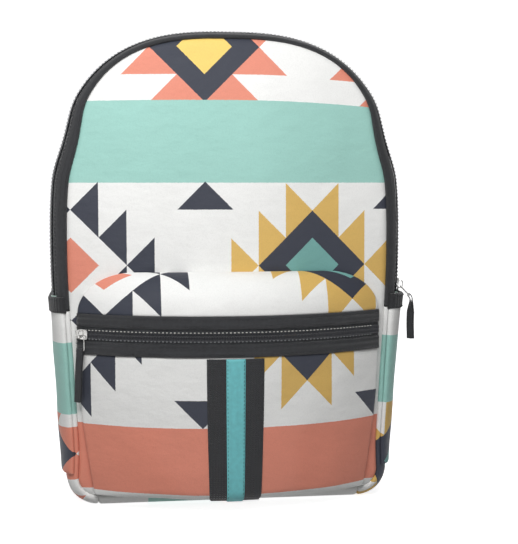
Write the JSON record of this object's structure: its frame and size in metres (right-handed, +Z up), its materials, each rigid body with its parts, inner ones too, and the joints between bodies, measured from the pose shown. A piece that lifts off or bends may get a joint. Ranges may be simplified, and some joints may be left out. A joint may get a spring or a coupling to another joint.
{
  "type": "neoprene backpack",
  "caption": "Soft printed neoprene backpack with an arched main zip, a zipped front pocket, open side pockets and padded shoulder straps.",
  "frame": {"origin": "middle of the flat base, on the surface that the backpack stands on", "axes": "+Z up, -Y out of the front pocket, +X to the right seen from the front"},
  "size_m": [0.3418, 0.1896, 0.4281],
  "materials": {
    "printed_neoprene": "smooth knit faced neoprene, printed",
    "black_neoprene": "smooth knit faced neoprene",
    "spacer_mesh": "open knit spacer mesh over foam",
    "woven_binding": "matte grosgrain",
    "zip_tape": "herringbone polyester tape",
    "zip_teeth": "nylon coil",
    "end_tab": "folded knit tape",
    "webbing": "flat woven webbing",
    "turquoise_ribbon": "flat woven ribbon",
    "elastic": "folded ribbed elastic",
    "lock_plastic": "moulded acetal",
    "slider_metal": "nickel plated zinc"
  },
  "bodies": {
    "pack": {"front_panel": "printed_neoprene", "top_gusset": "printed_neoprene", "side_gusset_left": "printed_neoprene", "side_gusset_right": "printed_neoprene", "bottom_panel": "printed_neoprene", "pocket_face": "printed_neoprene", "pocket_top": "printed_neoprene", "side_pocket_left": "printed_neoprene", "side_pocket_right": "printed_neoprene", "back_panel": "black_neoprene", "back_pad": "spacer_mesh", "shoulder_strap_left": "spacer_mesh", "shoulder_strap_right": "spacer_mesh", "yoke": "black_neoprene", "main_zip_front_binding": "woven_binding", "main_zip_rear_binding": "woven_binding", "main_zip_front_tape": "zip_tape", "main_zip_rear_tape": "zip_tape", "main_zip_front_teeth": "zip_teeth", "main_zip_rear_teeth": "zip_teeth", "main_zip_end_tab_left": "end_tab", "main_zip_end_tab_right": "end_tab", "pocket_lower_binding": "woven_binding", "pocket_upper_binding": "woven_binding", "pocket_lower_tape": "zip_tape", "pocket_upper_tape": "zip_tape", "pocket_lower_teeth": "zip_teeth", "pocket_upper_teeth": "zip_teeth", "pocket_spine_webbing": "webbing", "pocket_spine_ribbon": "turquoise_ribbon", "side_pocket_elastic_left": "elastic", "side_pocket_elastic_right": "elastic", "strap_webbing_left": "webbing", "strap_webbing_right": "webbing", "lock_loop_left": "webbing", "lock_loop_right": "webbing", "ladder_lock_left": "lock_plastic", "ladder_lock_right": "lock_plastic", "corner_tab_left": "black_neoprene", "corner_tab_right": "black_neoprene", "haul_loop": "webbing"},
    "main_slider": {"main_slider": "slider_metal"},
    "main_pull": {"main_pull_ring": "slider_metal", "main_pull_ribbon": "woven_binding"},
    "pocket_slider": {"pocket_slider": "slider_metal"},
    "pocket_pull": {"pocket_pull_ring": "slider_metal", "pocket_pull_ribbon": "woven_binding"}
  },
  "joints": [
    {"name": "main_zip_run", "type": "hinge", "parent": "pack", "child": "main_slider", "pos_m": [-0.796, -0.03311, 0.235], "axis": [0, -1, 0], "range_deg": [0, 5.3]},
    {"name": "main_pull_swing", "type": "hinge", "parent": "main_slider", "child": "main_pull", "pos_m": [0.1607, -0.03419, 0.19406], "axis": [-0.2215, -0.9751, 0.0091], "range_deg": [0, 100]},
    {"name": "pocket_zip_run", "type": "hinge", "parent": "pack", "child": "pocket_slider", "pos_m": [0, 0.1409, 0.15725], "axis": [0, 0, 1], "range_deg": [0, 66.4]},
    {"name": "pocket_pull_swing", "type": "hinge", "parent": "pocket_slider", "child": "pocket_pull", "pos_m": [-0.13314, -0.06238, 0.15545], "axis": [-0.8366, 0.5479, 0], "range_deg": [0, 110]}
  ]
}
